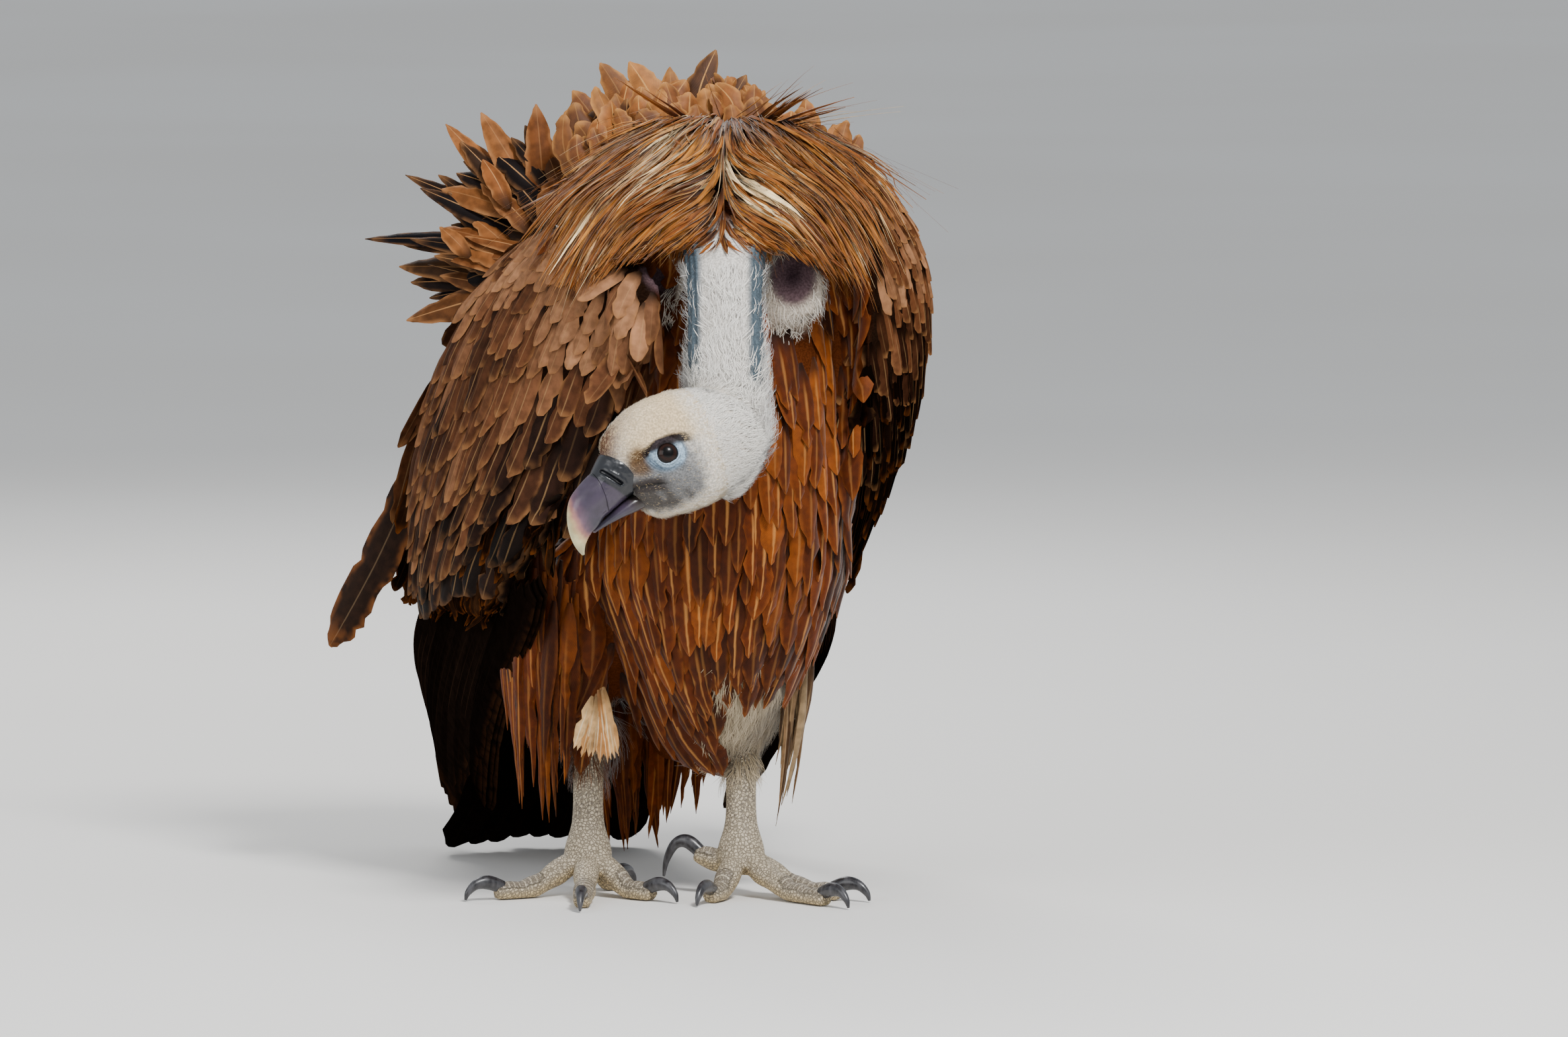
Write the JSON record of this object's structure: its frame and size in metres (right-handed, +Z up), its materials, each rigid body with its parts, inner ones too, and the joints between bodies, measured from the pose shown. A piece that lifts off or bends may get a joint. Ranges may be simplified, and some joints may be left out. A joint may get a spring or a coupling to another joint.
{
  "type": "griffon vulture model",
  "caption": "Life-size still griffon vulture standing hunched, head hung low and turned to its right, ruff and back feathers raised.",
  "frame": {"origin": "on the floor, at the middle of the rectangle that the bird covers", "axes": "+Z up; -Y is where the bird's body faces; +X is the bird's left"},
  "size_m": [0.4648, 0.5702, 0.6374],
  "materials": {
    "rufous_plumage": "soft brown-orange feathers",
    "brown_plumage": "overlapping brown feathers with pale edges",
    "tawny_plumage": "long tawny feathers",
    "dark_plumage": "dark brown to black flight feathers",
    "white_down": "short off-white down",
    "scaly_skin": "grey-tan scaly skin",
    "cere": "smooth blue-grey skin",
    "bill_horn": "polished horn, grey with a cream ridge",
    "claw_horn": "polished dark grey horn",
    "eye": "dark red-brown eye"
  },
  "bodies": {
    "root": {"eye_right": "eye", "eye_left": "eye", "head": "white_down", "cere": "cere", "upper_bill": "bill_horn", "lower_bill": "bill_horn", "trunk": "rufous_plumage", "neck": "white_down", "tarsus_right": "scaly_skin", "tarsus_left": "scaly_skin", "claw_outer_right": "claw_horn", "toe_outer_right": "scaly_skin", "claw_middle_right": "claw_horn", "toe_middle_right": "scaly_skin", "claw_inner_right": "claw_horn", "toe_inner_right": "scaly_skin", "claw_hind_right": "claw_horn", "toe_hind_right": "scaly_skin", "claw_outer_left": "claw_horn", "toe_outer_left": "scaly_skin", "claw_middle_left": "claw_horn", "toe_middle_left": "scaly_skin", "claw_inner_left": "claw_horn", "toe_inner_left": "scaly_skin", "claw_hind_left": "claw_horn", "toe_hind_left": "scaly_skin", "thigh_right": "rufous_plumage", "thigh_left": "white_down", "trouser_right": "rufous_plumage", "trouser_left": "white_down", "crop": "scaly_skin", "wing_right_coverts": "brown_plumage", "wrist_right": "brown_plumage", "wing_right_primaries": "dark_plumage", "wing_right_secondaries": "dark_plumage", "wing_left_coverts": "brown_plumage", "wing_left_primaries": "dark_plumage", "wing_left_secondaries": "dark_plumage", "ruff_right": "tawny_plumage", "ruff_left": "tawny_plumage", "tail": "dark_plumage", "crest_front": "tawny_plumage", "crest_back": "tawny_plumage", "crest_rear": "brown_plumage", "crest_left": "tawny_plumage", "scapular_1": "tawny_plumage", "scapular_2": "tawny_plumage", "scapular_3": "tawny_plumage", "scapular_4": "dark_plumage", "scapular_5": "dark_plumage", "scapular_6": "dark_plumage", "scapular_7": "dark_plumage", "scapular_8": "tawny_plumage", "scapular_9": "tawny_plumage", "loose_quill": "dark_plumage"}
  },
  "joints": []
}
